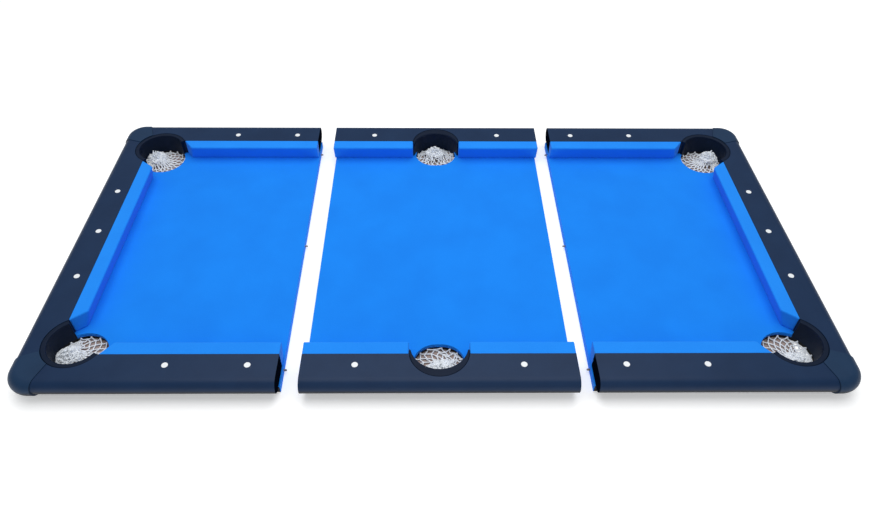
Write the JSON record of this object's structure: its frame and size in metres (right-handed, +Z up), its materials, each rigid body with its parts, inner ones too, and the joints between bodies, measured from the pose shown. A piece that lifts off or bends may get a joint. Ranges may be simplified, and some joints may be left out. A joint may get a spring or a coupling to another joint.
{
  "type": "mini pool table",
  "caption": "Mini pool table top in three sections, with blue cloth and cushions, black rails and caps, and white pocket nets",
  "frame": {"origin": "centre of the whole footprint, on the surface that the sections rest on", "axes": "+X along the table from the left section to the right one, +Y across it from the front rails to the rear ones, +Z up"},
  "size_m": [1.768, 0.92, 0.0624],
  "materials": {
    "board": "matte",
    "blue_cloth": "matte",
    "black_wrap": "satin",
    "black_moulding": "satin",
    "cushion_rubber": "matte",
    "white_string": "matte",
    "white_sight": "gloss",
    "pin_metal": "satin"
  },
  "bodies": {
    "left_section": {"left_bed_board": "board", "left_bed_cloth": "blue_cloth", "left_end_rail": "black_wrap", "left_rear_rail": "black_wrap", "left_front_rail": "black_wrap", "left_end_cushion_core": "cushion_rubber", "left_rear_cushion_core": "cushion_rubber", "left_front_cushion_core": "cushion_rubber", "left_end_cushion_cloth": "blue_cloth", "left_rear_cushion_cloth": "blue_cloth", "left_front_cushion_cloth": "blue_cloth", "left_rear_corner_cap": "black_moulding", "left_front_corner_cap": "black_moulding", "left_rear_pocket_liner": "black_moulding", "left_front_pocket_liner": "black_moulding", "left_rear_net": "white_string", "left_front_net": "white_string", "left_sights": "white_sight", "left_alignment_pins": "pin_metal", "left_screws": "pin_metal"},
    "middle_section": {"middle_bed_board": "board", "middle_bed_cloth": "blue_cloth", "middle_rear_rail": "black_wrap", "middle_front_rail": "black_wrap", "middle_rear_left_cushion_core": "cushion_rubber", "middle_rear_right_cushion_core": "cushion_rubber", "middle_front_left_cushion_core": "cushion_rubber", "middle_front_right_cushion_core": "cushion_rubber", "middle_rear_left_cushion_cloth": "blue_cloth", "middle_rear_right_cushion_cloth": "blue_cloth", "middle_front_left_cushion_cloth": "blue_cloth", "middle_front_right_cushion_cloth": "blue_cloth", "middle_rear_pocket_liner": "black_moulding", "middle_front_pocket_liner": "black_moulding", "middle_rear_net": "white_string", "middle_front_net": "white_string", "middle_sights": "white_sight", "middle_screws": "pin_metal"},
    "right_section": {"right_bed_board": "board", "right_bed_cloth": "blue_cloth", "right_end_rail": "black_wrap", "right_rear_rail": "black_wrap", "right_front_rail": "black_wrap", "right_end_cushion_core": "cushion_rubber", "right_rear_cushion_core": "cushion_rubber", "right_front_cushion_core": "cushion_rubber", "right_end_cushion_cloth": "blue_cloth", "right_rear_cushion_cloth": "blue_cloth", "right_front_cushion_cloth": "blue_cloth", "right_rear_corner_cap": "black_moulding", "right_front_corner_cap": "black_moulding", "right_rear_pocket_liner": "black_moulding", "right_front_pocket_liner": "black_moulding", "right_rear_net": "white_string", "right_front_net": "white_string", "right_sights": "white_sight", "right_alignment_pins": "pin_metal", "right_screws": "pin_metal"}
  },
  "joints": [
    {"name": "left_section_slide", "type": "slide", "parent": "middle_section", "child": "left_section", "axis": [1, 0, 0], "range_m": [-0.053, 0.0467]},
    {"name": "right_section_slide", "type": "slide", "parent": "middle_section", "child": "right_section", "axis": [1, 0, 0], "range_m": [-0.0387, 0.061]}
  ]
}
